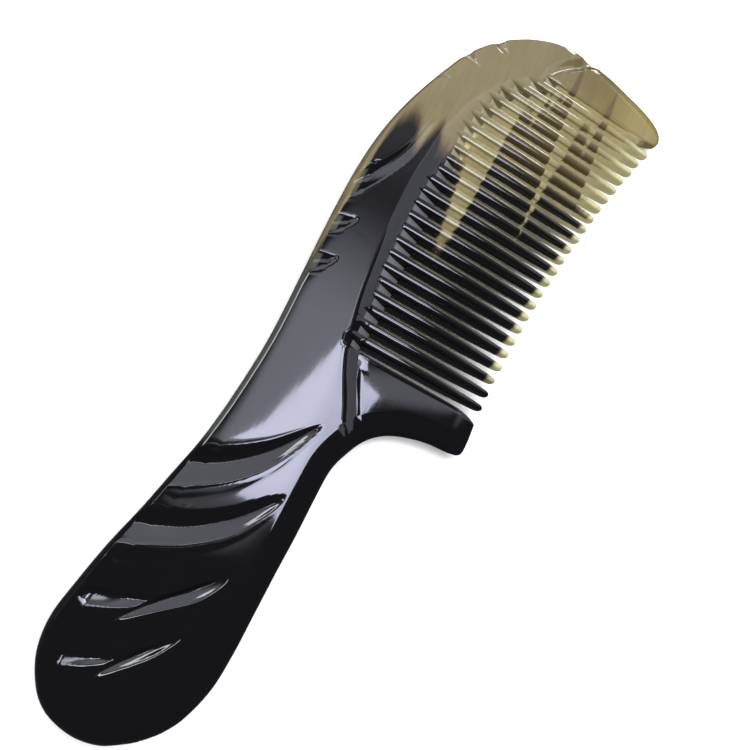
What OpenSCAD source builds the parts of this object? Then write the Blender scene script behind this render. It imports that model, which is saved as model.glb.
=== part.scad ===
// One-piece horn comb with a carved handle, a thick back and a row of saw-cut teeth.
// X runs from the handle to the far end, Y towards the back edge, Z up. Millimetres.
// The comb lies flat: its origin is under its middle, on the surface that it rests on.

/* [Plate] */
// Thickness of the handle, the neck and the back
plate_t = 7; // [6:0.1:8]
// Thickness of the back where it ends, past the last tooth
far_t = 5; // [4.6:0.1:6]
// Width of the rounding along the outline
edge_r = 3; // [2:0.1:3.6]

/* [Teeth] */
// Number of teeth between the two guards
teeth = 24; // [18:1:26]
// Width of each saw cut between the teeth
slot_w = 1.7; // [1.2:0.1:1.8]
// Thickness of the teeth at their roots
root_t = 4.6; // [3.6:0.1:5]
// Thickness of the teeth near their tips
tip_t = 2.8; // [2:0.1:3.4]
// Length of the slope from the face down to the root of a saw cut
cut_run = 5; // [3:0.1:6]
// How far the tips narrow on each side
tip_taper = 0.3; // [0.1:0.05:0.4]

/* [Carving] */
// Depth of the gouges across the handle
handle_depth = 1.2; // [0.6:0.1:1.6]
// Depth of the leaf lines in the back, away from the edge
leaf_depth = 0.7; // [0.4:0.1:1]

/* [Hidden] */
horn = [0.15, 0.14, 0.12];

// Steps between two rows of the outline, and of a gouge
outline_steps = 2;
gouge_steps = 3;
// Squareness of the rounding: 2 is a circle
edge_power = 2.4;
// The rounding's points, as shares of its width
edge_shares = [0, 0.08, 0.4, 1];

// Outline, from the end of the handle to the far end.
// Each row: x and y on the back edge, then x and y on the edge of the tips.
outline = [
    [-91.8, 22.5, -91.8, 22.5],
    [-91.3, 26.2, -91.3, 18.7],
    [-89.8, 30.0, -89.6, 15.1],
    [-87.0, 33.1, -86.6, 11.0],
    [-82.0, 35.9, -82.0, 7.6],
    [-76.0, 36.8, -76.0, 5.5],
    [-69.0, 35.8, -69.0, 4.7],
    [-61.0, 34.2, -61.0, 4.4],
    [-53.0, 32.1, -53.0, 4.1],
    [-45.0, 30.3, -45.0, 3.7],
    [-37.0, 28.5, -37.0, 3.5],
    [-30.0, 27.5, -30.5, 3.1],
    [-25.0, 27.0, -25.6, 1.4],
    [-21.5, 26.7, -21.7, -0.8],
    [-19.0, 26.5, -18.8, -4.1],
    [-17.3, 26.5, -17.0, -8.3],
    [-16.2, 26.3, -15.9, -13.0],
    [-15.2, 26.3, -15.5, -18.0],
    [-14.0, 26.3, -14.6, -20.5],
    [-11.0, 26.2, -11.5, -21.0],
    [-6.5, 26.2, -6.5, -20.9],
    [-1.0, 26.4, -1.0, -21.0],
    [9.0, 26.7, 9.0, -21.7],
    [19.0, 26.9, 19.0, -22.7],
    [29.0, 27.0, 29.0, -24.0],
    [39.0, 26.4, 39.0, -25.7],
    [49.0, 24.9, 49.0, -27.7],
    [58.0, 22.4, 59.0, -30.0],
    [65.0, 20.1, 67.0, -32.1],
    [71.0, 17.9, 75.0, -34.5],
    [75.5, 15.6, 79.8, -36.2],
    [79.0, 13.3, 82.8, -36.9],
    [82.0, 10.9, 85.4, -36.0],
    [84.6, 8.1, 87.4, -33.3],
    [87.4, 4.5, 89.0, -29.0],
    [90.1, -0.5, 90.2, -24.0],
    [91.6, -5.4, 91.3, -19.0],
    [92.0, -9.5, 91.8, -15.0],
    [92.0, -12.3, 92.0, -12.3]
];

// The step down from the thick back to the thin blade: x, y of its middle, its width
ridge = [
    [-120, -20, 2.4],
    [-28, 1.0, 2.4],
    [-23.8, 4.2, 2.4],
    [-18.4, 5.9, 2.4],
    [-13.5, 8.2, 2.4],
    [-8, 10.5, 2.4],
    [-2, 11.9, 2.4],
    [4.7, 12.9, 2.6],
    [14.5, 13.6, 2.8],
    [24.3, 14, 3.2],
    [34, 13.8, 3.8],
    [49, 12.5, 5],
    [63, 9, 6],
    [75, 2.5, 6],
    [84, -4.5, 5],
    [92, -10, 4]
];

// Roots of the saw cuts: x, y at mid-thickness, share of the length of the slope
roots = [
    [-5, 8.5, 0.86],
    [-1.6, 7.9, 0.98],
    [1.9, 7.4, 1.22],
    [5.5, 7.4, 0.76],
    [9, 7.4, 0.8],
    [12.4, 7.4, 1.06],
    [30, 7.6, 1.04],
    [37, 7.6, 0.92],
    [40.4, 7.1, 0.83],
    [47.6, 6.5, 0.8],
    [54.6, 5.9, 0.96],
    [61.6, 4.8, 0.8],
    [68.6, 2.8, 0.8],
    [72, 0.2, 0.8],
    [75.6, -4, 0.8],
    [79, -7, 0.8]
];

// Walls of the two guards that face the teeth, and the rows of the outline between them
near_guard_x = -6;
far_guard_x = 79.75;
// Length of the narrowed tips
taper_length = 5;

// Gouges across the handle. Each row: x, y, half width, share of the depth.
gouge_1 = [[-82.6, 34.2, 0.7, 0.2], [-80.6, 31.6, 1.4, 0.7], [-78.4, 27, 0.9, 0.5], [-77, 23.6, 0.3, 0.1]];
gouge_2 = [[-81.6, 25.6, 0.3, 0.1], [-77.8, 22.5, 1, 0.5], [-74, 18.9, 1.1, 0.5], [-69.8, 15.3, 0.3, 0.1]];
gouge_3 = [[-71.4, 35.4, 0.8, 0.2], [-69.6, 33, 1.9, 0.8], [-67.6, 27.8, 1.4, 0.7], [-65.8, 22.8, 0.4, 0.1]];
gouge_4 = [[-71.6, 27, 0.3, 0.1], [-66.6, 21.6, 1.6, 0.7], [-62.2, 17.2, 1.7, 0.8], [-57.7, 12.8, 0.3, 0.1]];
gouge_5 = [
    [-56.9, 35, 3.2, 1.4], [-54.6, 30.4, 3, 1.2], [-52, 23.4, 2.5, 1],
    [-47.2, 17.4, 1.8, 0.8], [-40.4, 10.4, 0.3, 0.1]
];
gouge_6 = [
    [-43.3, 32, 3.2, 1.4], [-41, 28, 2.9, 1.2], [-38, 22.5, 2.3, 1],
    [-33.2, 16.2, 1.5, 0.8], [-25, 10, 0.3, 0.1]
];
handle_gouges = [gouge_1, gouge_2, gouge_3, gouge_4, gouge_5, gouge_6];

// Leaf lines in the back and the head, in the same form
leaf_1 = [[3.5, 28.5, 2, 4], [5.6, 26.4, 1.6, 3], [8, 23.8, 1.2, 1.6], [10, 20.6, 0.4, 0.3]];
leaf_2 = [[14, 28.7, 2, 4], [16, 26.6, 1.6, 3], [18.3, 24, 1.2, 1.6], [20.2, 20.8, 0.4, 0.3]];
leaf_3 = [
    [23.5, 29, 1.8, 3.4], [27, 26, 1.6, 2], [33.5, 22, 1.4, 1],
    [41, 18.8, 1.2, 0.7], [50, 17.2, 0.6, 0.3]
];
leaf_4 = [[62.4, 22.6, 1.6, 3.4], [63.2, 20, 1.2, 1.8], [64, 18, 0.4, 0.3]];
leaf_5 = [[73, 19.2, 1.8, 3.6], [72.2, 16.2, 1.3, 1.8], [70.4, 12.8, 0.4, 0.3]];
leaf_6 = [[81.4, 13.6, 1.8, 3.6], [80.2, 10.9, 1.3, 1.8], [78.5, 8.1, 0.4, 0.3]];
leaf_7 = [
    [79.9, -2.8, 0.4, 0.3], [83.2, -5, 1, 0.9], [86.3, -7.4, 1.3, 1.5],
    [88.9, -9.8, 1.5, 2.2], [92.9, -13.2, 1.7, 3]
];
leaf_lines = [leaf_1, leaf_2, leaf_3, leaf_4, leaf_5, leaf_6, leaf_7];

plate_half = plate_t / 2;
far_half = far_t / 2;
root_half = root_t / 2;
tip_half = tip_t / 2;
pitch = (far_guard_x - near_guard_x - slot_w) / teeth;
// Taller than half of the plate, for cutters that pass through a face
clear_z = plate_t;

// Smooth curve through the rows of a table, at step s of n after row i
function smooth(rows, i, s) =
    let (last = len(rows) - 1,
         a = rows[max(i - 1, 0)], b = rows[i], c = rows[min(i + 1, last)], d = rows[min(i + 2, last)])
    0.5 * (2 * b + (c - a) * s + (2 * a - 5 * b + 4 * c - d) * s * s
           + (3 * b - a - 3 * c + d) * s * s * s);
function smooth_rows(rows, steps) = concat(
    [for (i = [0 : len(rows) - 2], k = [0 : steps - 1]) smooth(rows, i, k / steps)],
    [rows[len(rows) - 1]]);

function column(rows, k) = [for (row = rows) [row[0], row[k]]];
function share(v) = min(max(v, 0), 1);
function soft_step(v) = let (s = share(v)) s * s * (3 - 2 * s);
function rounded(v) = pow(1 - pow(1 - share(v), edge_power), 1 / edge_power);

stations = smooth_rows(outline, outline_steps);
last_station = len(stations) - 1;
root_ys = column(roots, 1);
root_shares = column(roots, 2);
ridge_ys = column(ridge, 1);
ridge_widths = column(ridge, 2);
tip_line = [for (row = stations) if (row[2] > near_guard_x - 12) [row[2], row[3]]];

// Half of the thickness at a point, without the rounding of the outline
function back_half(x) = plate_half + (far_half - plate_half) * soft_step((x - 46) / 44);
function blade_half(x, y) =
    let (top = lookup(x, root_ys), tip = lookup(x, tip_line))
    root_half + (tip_half - root_half) * share((top - y) / (top - tip));
function half_at(x, y) =
    let (rise = soft_step((y - lookup(x, ridge_ys)) / lookup(x, ridge_widths) + 0.5))
    blade_half(x, y) + (back_half(x) - blade_half(x, y)) * rise;

// Unit vector across the outline at station i, inwards from the back or the tip edge
function inward(i, edge) =
    let (a = stations[max(i - 1, 0)], b = stations[min(i + 1, last_station)],
         run = [b[2 * edge] - a[2 * edge], b[2 * edge + 1] - a[2 * edge + 1]],
         turn = edge == 0 ? [run[1], -run[0]] : [-run[1], run[0]])
    turn / norm(turn);

// Points across the comb at one station, from the back edge to the tip edge
function cross_points(i) =
    let (row = stations[i], back = [row[0], row[1]], front = [row[2], row[3]],
         wide = norm(front - back), r = min(edge_r, wide * 0.42),
         inner_back = back + inward(i, 0) * r, inner_front = front + inward(i, 1) * r,
         span = norm(inner_front - inner_back),
         middle = (inner_back + inner_front) / 2,
         at = share((inner_back[1] - lookup(middle[0], ridge_ys)) / max(span, 1)),
         half_w = lookup(middle[0], ridge_widths) / 2 / max(span, 1),
         first = min(max(at - half_w, 0.3), 0.8), second = min(max(at + half_w, 0.4), 0.9),
         inner = [first / 2, first, (first + second) / 2, second,
                  second + (1 - second) * 0.35, second + (1 - second) * 0.7],
         last = min(i, last_station - i) == 0)
    last ? [for (k = [0 : 2 * len(edge_shares) + len(inner) - 1]) [back[0], back[1], 0]]
    : concat(
        [for (e = edge_shares) let (p = back + inward(i, 0) * r * e)
            [p[0], p[1], half_at(p[0], p[1]) * rounded(e) * end_round(p[0])]],
        [for (t = inner) let (p = inner_back + (inner_front - inner_back) * t)
            [p[0], p[1], half_at(p[0], p[1]) * end_round(p[0])]],
        [for (k = [len(edge_shares) - 1 : -1 : 0]) let (e = edge_shares[k], p = front + inward(i, 1) * r * e)
            [p[0], p[1], half_at(p[0], p[1]) * rounded(e) * end_round(p[0])]]);

// The rounding of the two ends, where the stations are short
function end_round(x) =
    rounded((x - outline[0][0]) / edge_r) * rounded((outline[len(outline) - 1][0] - x) / edge_r);

// The whole plate, with its rounded outline and its step, before it is sawn and carved
module blank() {
    tops = [for (i = [1 : last_station - 1]) cross_points(i)];
    across = len(tops[0]);
    ring = 2 * across - 2;
    rings = [for (row = tops) concat(row,
        [for (k = [across - 2 : -1 : 1]) [row[k][0], row[k][1], -row[k][2]]])];
    poles = [[outline[0][0], outline[0][1], 0],
             [outline[len(outline) - 1][0], outline[len(outline) - 1][1], 0]];
    count = len(rings);
    side_faces = [for (i = [0 : count - 2], k = [0 : ring - 1], half = [0, 1])
        let (a = i * ring + k, b = i * ring + (k + 1) % ring, c = b + ring, d = a + ring)
        half == 0 ? [a, d, b] : [b, d, c]];
    end_faces = concat(
        [for (k = [0 : ring - 1]) [count * ring, k, (k + 1) % ring]],
        [for (k = [0 : ring - 1])
            [count * ring + 1, (count - 1) * ring + (k + 1) % ring, (count - 1) * ring + k]]);
    polyhedron(points = concat([for (row = rings) each row], poles),
               faces = concat(side_faces, end_faces));
}

// One saw cut: straight walls, a mouth that opens at the tips, and a root like a V lying on its side
module saw_cut(x) {
    root_y = lookup(x, root_ys);
    tip_y = lookup(x, tip_line);
    past_y = tip_y - 6;
    run = cut_run * lookup(x, root_shares);
    slope = run * clear_z / half_at(x, root_y + run);
    profile = [[root_y, 0], [root_y + slope, clear_z], [past_y, clear_z],
               [past_y, -clear_z], [root_y + slope, -clear_z]];
    translate([x - slot_w / 2, 0, 0]) rotate([90, 0, 90]) linear_extrude(slot_w) polygon(profile);
    hull() {
        mouth_bar(x, tip_y + taper_length, slot_w);
        mouth_bar(x, tip_y, slot_w + 2 * tip_taper);
        mouth_bar(x, past_y, slot_w + 2 * tip_taper);
    }
}

// A thin upright bar across a saw cut, for its mouth
module mouth_bar(x, y, width) {
    translate([x - width / 2, y, -clear_z]) cube([width, 0.01, 2 * clear_z]);
}

// One gouge in the upper face: a V whose width and depth follow the rows of its path
module gouge(path, depth) {
    rows = smooth_rows(path, gouge_steps);
    last = len(rows) - 1;
    points = [for (i = [0 : last])
        let (row = rows[i], a = rows[max(i - 1, 0)], b = rows[min(i + 1, last)],
             run = [b[0] - a[0], b[1] - a[1]], side = [-run[1], run[0]] / norm(run),
             face = half_at(row[0], row[1]), deep = max(row[3] * depth, 0.05),
             lid = 1.5, wide = max(row[2], 0.2) * (1 + lid / deep),
             w = min(wide, row[2] + 3), up = (w / max(row[2], 0.2) - 1) * deep)
        each [[row[0] + side[0] * w, row[1] + side[1] * w, face + up],
              [row[0] - side[0] * w, row[1] - side[1] * w, face + up],
              [row[0], row[1], face - deep]]];
    faces = [for (i = [0 : last - 1], k = [0 : 2], half = [0, 1])
        let (a = 3 * i + k, b = 3 * i + (k + 1) % 3, c = b + 3, d = a + 3)
        half == 0 ? [a, d, b] : [b, d, c]];
    polyhedron(points = points,
               faces = concat(faces, [[0, 1, 2], [3 * last + 2, 3 * last + 1, 3 * last]]));
}

module carving() {
    for (path = handle_gouges) gouge(path, handle_depth);
    for (path = leaf_lines) gouge(path, leaf_depth);
}

// Moves the comb over its origin, whatever the outline's own middle is
function middle_of(values) = (min(values) + max(values)) / 2;
mid_x = middle_of([for (row = stations) each [row[0], row[2]]]);
mid_y = middle_of([for (row = stations) each [row[1], row[3]]]);

module comb() {
    color(horn) translate([-mid_x, -mid_y, plate_half]) difference() {
        blank();
        for (i = [0 : teeth]) saw_cut(near_guard_x + slot_w / 2 + pitch * i);
        carving();
        mirror([0, 0, 1]) carving();
    }
}

comb();
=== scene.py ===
import math
import random

import bpy
import bmesh
import numpy as np
from mathutils import Matrix, Vector
from mathutils.kdtree import KDTree


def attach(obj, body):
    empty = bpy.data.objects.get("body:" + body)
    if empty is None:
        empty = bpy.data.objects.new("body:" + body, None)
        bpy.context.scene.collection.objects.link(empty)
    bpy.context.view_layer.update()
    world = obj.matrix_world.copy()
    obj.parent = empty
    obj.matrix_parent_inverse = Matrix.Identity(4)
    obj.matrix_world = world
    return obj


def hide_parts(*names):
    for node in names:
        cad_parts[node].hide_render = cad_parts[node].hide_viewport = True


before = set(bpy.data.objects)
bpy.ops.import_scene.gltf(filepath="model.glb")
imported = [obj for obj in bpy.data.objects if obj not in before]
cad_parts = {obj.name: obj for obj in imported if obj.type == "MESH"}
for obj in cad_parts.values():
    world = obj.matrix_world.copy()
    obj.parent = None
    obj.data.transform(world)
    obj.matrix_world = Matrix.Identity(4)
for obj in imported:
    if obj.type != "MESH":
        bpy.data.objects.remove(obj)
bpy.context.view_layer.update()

mm = 0.001

# The comb is worked out in millimetres: x along it, y towards the back edge, z up from its mid-plane.
plate = {
    "thickness": 7.0,
    "farThickness": 5.0,   # of the back, past the last tooth
    "thinsFrom": 46.0,     # x where the back starts to thin
    "thinsOver": 44.0,
    "backEdgeWidth": 3.6,  # of the rounding along the back
    "nearEdgeWidth": 5.2,  # along the other side of the handle, and round the near guard
    "farEdgeWidth": 3.2,   # round the far guard
    "edgePower": 2.3,      # squareness of the roundings, 2 is a circle
    "rimWidth": 0.95,      # from the back's outline to the fine crease inside it
    "rimRise": 0.995,      # share of the thickness that is reached at the crease
    "rimArc": 0.6,         # share of a quarter circle that the rim's section takes
    "rimFade": 3,          # points of backEdge over which the crease fades in and out
}
# The section of the step from the thick back down to the blade
stepShape = {
    "hollow": 1.7,         # power of its slope, 1 is straight
    "crestEasing": 0.08,   # of the corner at the crest, as a share of the step's height
    "grooveDepth": 0.13,   # of the fine groove at the foot, as a share of the step's height
    "grooveOut": 0.3,      # how far the groove reaches out from the foot and up the step,
    "grooveUp": 0.06,      # as shares of the step's width
    "grooveEnds": 10.0,    # x where the groove has faded out
    "grooveFade": 14.0,
    "softensFrom": 15.0,   # x where the crisp section starts to turn into a soft one
    "softensOver": 30.0,
}

# Outline from below the middle of the handle's end, over the back, to the far end: x, y
backEdge = [
    (-88.3, 12.9), (-89.7, 15.2), (-91.3, 18.7), (-91.8, 22.5), (-91.3, 26.2), (-89.8, 30.0),
    (-87.0, 33.1), (-82.0, 35.9), (-76.0, 36.8), (-69.0, 35.8), (-61.0, 34.2), (-53.0, 32.1),
    (-45.0, 30.3), (-37.0, 28.5), (-30.0, 27.5), (-25.0, 27.0), (-20.0, 26.6), (-15.0, 26.3),
    (-10.0, 26.2), (-4.0, 26.3), (4.0, 26.55), (14.0, 26.85), (24.0, 27.0), (34.0, 26.8),
    (44.0, 25.8), (53.0, 23.9), (61.0, 21.5), (67.0, 19.4), (72.0, 17.5), (76.0, 15.3),
    (79.5, 12.9), (82.6, 10.3), (85.2, 7.4), (87.6, 4.2), (90.1, -0.5), (91.6, -5.4),
    (92.0, -9.5), (92.0, -12.3),
]
# Outline from the same point along the handle's other side to the near guard's corner
nearEdge = [
    (-88.3, 12.9), (-85.6, 10.0), (-82.0, 7.6), (-76.0, 5.5), (-69.0, 4.7), (-61.0, 4.4),
    (-53.0, 4.1), (-45.0, 3.7), (-37.0, 3.5), (-30.5, 3.1), (-25.6, 1.4), (-21.7, -0.8),
    (-18.8, -4.1), (-17.0, -8.3), (-15.9, -13.0), (-15.5, -18.0), (-14.6, -20.5), (-11.5, -21.0),
    (-6.0, -20.9),
]
# Outline from the far guard's corner to the far end
farEdge = [
    (79.75, -36.2), (82.8, -36.9), (85.4, -36.0), (87.4, -33.3), (89.0, -29.0), (90.2, -24.0),
    (91.3, -19.0), (91.8, -15.0), (92.0, -12.3),
]
# Lines across the comb: place along backEdge, place along nearEdge. They lean with the gouges.
nearPairs = [
    (0.0, 0.0), (1.2, 0.7), (3.0, 2.3), (4.5, 3.0), (6.0, 3.8), (7.3, 4.9), (9.0, 6.3),
    (10.5, 8.1), (12.2, 11.0), (14.0, 13.0), (16.0, 15.0), (17.2, 16.3), (18.0, 17.1), (18.5, 17.83),
]
# The same past the last tooth: place along backEdge, place along farEdge
farPairs = [
    (30.5, 0.43), (31.3, 1.0), (32.0, 2.0), (32.7, 3.0), (33.3, 4.0), (34.0, 5.0), (35.0, 6.0),
    (36.0, 7.0), (37.0, 8.0),
]

teeth = {
    "count": 24,
    "slotWidth": 1.7,
    "nearWall": -6.0,        # x of the guards' walls that face the teeth
    "farWall": 79.75,
    "rootThickness": 4.6,
    "tipThickness": 2.7,
    "thinning": 2.6,         # the larger, the nearer to its tip a tooth gets thin
    "rootEasing": 1.5,       # length over which the guards' thinning sets in
    "leftSquareness": 5.0,   # of the cross-section at the root, 2 is round
    "rightSquareness": 12.0,
    "tipSquareness": 4.0,    # of both sides
    "taperLength": 11.0,
    "taperPower": 1.5,
    "tipNarrowing": 0.3,     # on each side
    "capLength": 1.3,        # of the rounded tip
    "capPower": 0.8,         # the smaller, the blunter the tip
    "ringSteps": 8,          # over the upper half of a tooth's cross-section
    "lengthSteps": 20,
    "capShare": 0.3,         # of lengthSteps
    "weld": 0.004,           # distance within which a tooth's points are merged
    "unevenTips": 0.1,
    "seed": 7,
    "cutRun": 5.0,           # length of a saw cut's slope up to the face
    "unevenCuts": 0.3,       # how far the slopes' upper ends differ
    "unevenTurn": 5.3,       # radians from one saw cut to the next
}
# Line through the tips: x, y
tipLine = [(-12, -20.9), (-1, -21.0), (9, -21.7), (19, -22.7), (29, -24.0), (39, -25.7),
           (49, -27.7), (59, -30.0), (67, -32.1), (75, -34.5), (79.75, -36.2), (92, -39.5)]
# Saw cuts: x, y of the root at mid-thickness, share of cutRun from there up to the face
sawCuts = [(-5.15, 8.5, 0.86), (-1.6, 7.9, 0.98), (1.9, 7.4, 1.22), (5.5, 7.4, 0.76), (9, 7.4, 0.8),
           (12.4, 7.4, 1.06), (30, 7.6, 1.04), (37, 7.6, 0.92), (40.4, 7.1, 0.83), (47.6, 6.5, 0.8),
           (54.6, 5.9, 0.96), (61.6, 4.8, 0.8), (68.6, 2.8, 0.8), (72, 0.2, 0.8), (75.6, -4, 0.8),
           (79, -7, 0.8)]
# The step from the thick back down to the blade: x, y of its middle, its width
ridge = [(-120, -40, 3.6), (-28, 0.2, 3.8), (-22.1, 3.7, 3.8), (-18, 5.4, 3.5), (-14, 7.4, 3.4),
         (-10, 9.2, 3.4), (-6.6, 10.3, 3.3), (-2, 11.4, 3.1), (4.7, 12.7, 2.9), (14.5, 13.6, 2.9),
         (24.3, 14, 3.2), (34, 13.8, 3.8), (49, 12.5, 5), (63, 9, 6), (75, 2.5, 6), (84, -4.5, 5),
         (92, -10, 4)]

# Gouges across the handle and leaf lines in the back. Each row: x, y of the valley, width of the
# wide slope on its left, width of the steep slope on its right, depth.
gouges = {
    "handleEndUpper": [(-80.3, 32.0, 1.9, 0.5, 0.45), (-79.5, 29.2, 1.7, 0.5, 0.45),
                       (-78.5, 26.0, 1.0, 0.4, 0.4), (-77.3, 23.2, 0.2, 0.2, 0.05)],
    "handleEndLower": [(-81.4, 25.5, 0.3, 0.2, 0.05), (-77.7, 22.5, 1.1, 0.4, 0.5),
                       (-73.9, 18.8, 1.2, 0.4, 0.6), (-69.8, 14.9, 0.3, 0.2, 0.05)],
    "handleMidUpper": [(-69.6, 33.3, 2.6, 0.6, 0.62), (-68.7, 30.0, 2.3, 0.6, 0.6),
                       (-67.8, 26.6, 1.6, 0.6, 0.65), (-66.8, 23.4, 0.9, 0.4, 0.4),
                       (-65.7, 20.8, 0.2, 0.2, 0.05)],
    "handleMidLower": [(-71.9, 26.9, 0.3, 0.2, 0.05), (-67.0, 22.4, 1.4, 0.4, 0.6),
                       (-62.2, 17.1, 2.0, 0.5, 0.8), (-58.6, 13.6, 1.2, 0.4, 0.4),
                       (-57.1, 12.4, 0.2, 0.2, 0.05)],
    "handleNeckSide": [(-57.2, 35.5, 3.6, 2.7, 1.6), (-55.2, 30.4, 3.8, 2.7, 1.5),
                       (-52.6, 23.6, 3.3, 2.4, 1.25), (-48.1, 17.0, 2.8, 2.0, 1.0),
                       (-43.0, 11.9, 1.4, 1.5, 0.6), (-40.0, 9.6, 0.3, 0.4, 0.05)],
    "neck": [(-43.6, 32.5, 4.6, 2.9, 1.7), (-41.4, 28, 4.6, 2.8, 1.6), (-38.5, 22.4, 4.0, 2.3, 1.3),
             (-33.5, 16.3, 2.9, 1.8, 1.0), (-27.8, 11.8, 1.2, 1.0, 0.5), (-24.5, 9.8, 0.2, 0.3, 0.05)],
}
leafLines = {
    "lobeOne": [(4.2, 29.0, 2.4, 2.4, 1.1), (5.6, 26.9, 2.3, 2.3, 1.0), (6.7, 25.3, 1.9, 1.8, 0.8),
                (7.9, 23.5, 1.2, 1.1, 0.5), (9.3, 21.8, 0.2, 0.2, 0.05)],
    "lobeTwo": [(14.2, 29.0, 2.4, 2.4, 1.1), (15.5, 26.9, 2.3, 2.3, 1.0), (16.5, 25.4, 1.9, 1.8, 0.8),
                (17.9, 23.6, 1.2, 1.1, 0.5), (19.6, 21.7, 0.2, 0.2, 0.05)],
    "longLeaf": [(22.5, 29.8, 3.0, 1.6, 1.6), (27, 26.2, 2.6, 1.4, 1.1), (33.5, 22.2, 2.2, 1.2, 0.7),
                 (41, 19.0, 1.8, 1.0, 0.5), (51, 17.0, 0.6, 0.4, 0.05)],
    "headNotchOne": [(62.0, 23.2, 1.6, 1.0, 1.2), (62.9, 20.6, 1.2, 0.8, 0.8), (64, 18, 0.2, 0.2, 0.05)],
    "headNotchTwo": [(73.2, 19.6, 2.4, 1.4, 1.6), (72.3, 16.4, 1.8, 1.1, 1.1),
                     (70.4, 12.8, 0.3, 0.2, 0.05)],
    "headNotchThree": [(82.0, 14.2, 2.4, 1.4, 1.6), (80.6, 11.2, 1.8, 1.1, 1.1),
                       (78.5, 8.1, 0.3, 0.2, 0.05)],
    "farLine": [(79.9, -2.8, 0.3, 0.3, 0.05), (83.2, -5, 0.9, 1.2, 0.6), (86.3, -7.4, 1.2, 1.6, 1.0),
                (88.9, -9.8, 1.4, 1.8, 1.4), (93.2, -13.6, 1.6, 2.0, 1.8)],
}
carving = {
    "valleyRound": 0.2,    # size of the rounding along the valleys
    "gougeCrests": 0.28,   # share of the depth over which the crests are eased
    "leafCrests": 0.16,
    "endSteepness": 3.0,   # how much steeper a gouge's end is than its side
    "deepest": 0.62,       # share of the half thickness that a gouge may take
    "edgeFade": 1.5,       # the larger, the shallower a gouge gets over the edge's rounding
    "leastWidth": 0.2,     # of a slope
    "reach": 6.0,          # from a gouge's valley, past every slope
}
guards = {
    "cornerPull": 1.4,     # how far the corner beside the teeth is worn back at the tip
    "cornerHeight": 8.0,
    "cornerReach": 5.0,
    "cornerPower": 2.4,    # the larger, the nearer to the tip the wear starts
}
# Dents that the leaf lines leave in the outline: x, y, reach, depth
outlineDents = [(74.0, 16.8, 1.6, 0.35), (82.2, 11.2, 1.8, 0.45), (92.0, -12.6, 1.8, 0.3)]
dentShape = {
    "leanX": -10.0,        # the point that a dent goes towards, from its own place
    "leanY": -12.0,
    "power": 1.2,          # 1 is a notch with straight sides
}

# The points that the comb's mesh is made of
meshPlan = {
    "backRows": 25,        # from the back's rounding to the crest of the step
    "stepRows": 8,         # down the step
    "footRows": 17,        # from its foot to the roots of the teeth
    "guardRows": 18,       # from there to the rounding along the tips
    "crestSpread": 1.1,    # the larger, the closer the rows are at the crest of the step
    "footSpread": 1.15,    # the same at its foot
    "stationStep": 0.47,   # between two lines across the handle or the far guard
    "edgeLimit": 0.45,     # largest share of a line that one edge's rounding takes
    "edgeReach": 0.9,      # points of nearEdge or farEdge that its direction is taken over
    "crestLimits": (0.12, 0.95),  # shares of a line that its crest row stays between
    "crestFade": 1.2,      # how far past a line's end the step still draws its rows
    "crestPast": 10,       # height over the step that counts as one more length of the line
    "stepLimits": (0.04, 0.5),    # least share of the line for the step, and largest of its rest
    "footLeast": 0.01,     # least share of the line from the foot of the step to the roots
    "nearLikeTeeth": (0.86, 0.13),  # share of the handle's lines before those that bend to the
                                    # teeth's roots, and share over which they do
    "farLikeTeeth": 0.25,  # share of the far lines that bend to them
    "seamGap": 0.07,       # between two blocks, in points of backEdge
    "nearMatch": 12,       # lines over which a block is bent to meet the next one
    "farMatch": 14,
    "leanAbove": 0.3,      # from a saw cut's slope up to where its columns start to lean
    "leanRounds": 3,
    "leastFoot": 1.6,      # from a root up to the foot of the step
    "leastStep": 1.0,      # from there up to its crest
    "merge": 0.001,        # distance within which points of the whole comb are merged
    "degenerate": 0.0005,  # length under which an edge is dissolved
}
# Samples taken along a curve while places on it are looked for
samples = {
    "outline": 300,        # between two points of an outline
    "gouge": 24,           # between two rows of a gouge
    "lines": 40,           # between two lines of nearPairs or farPairs
    "acrossLine": 160,
    "besideTeeth": 400,
    "crease": 2000,
    "easing": 9,
}


def placed(name, data):
    # A new object, linked to the scene
    holder = bpy.data.objects.new(name, data)
    bpy.context.scene.collection.objects.link(holder)
    return holder


def newMaterial(name):
    material = bpy.data.materials.new(name)
    material.use_nodes = True
    return material, material.node_tree.nodes["Principled BSDF"]


# Curves and tables

def smoothAt(points, place):
    # Smooth curve through a list of points, at a place counted in points
    points = np.asarray(points, float)
    place = np.clip(np.asarray(place, float), 0, len(points) - 1)
    i = np.minimum(place.astype(int), len(points) - 2)
    s = (place - i)[..., None]
    a = points[np.maximum(i - 1, 0)]
    b = points[i]
    c = points[i + 1]
    d = points[np.minimum(i + 2, len(points) - 1)]
    return 0.5 * (2 * b + (c - a) * s + (2 * a - 5 * b + 4 * c - d) * s ** 2
                  + (3 * b - a - 3 * c + d) * s ** 3)


def lookup(table, x, column=1):
    rows = np.asarray(table, float)
    return np.interp(x, rows[:, 0], rows[:, column])


def softLookup(table, x, column=1, reach=2.5):
    # The table's value, averaged over a short reach so that its corners are eased
    steps = np.linspace(-reach, reach, samples["easing"])
    return np.mean([lookup(table, x + step, column) for step in steps], axis=0)


def ease(v):
    v = np.clip(v, 0, 1)
    return v * v * (3 - 2 * v)


def softPositive(v, size):
    # v where it is positive and 0 elsewhere, with a corner eased over size
    return 0.5 * (v + np.sqrt(v * v + size * size)) - 0.5 * size * np.exp(-(v / size) ** 2)


# Thickness

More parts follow.
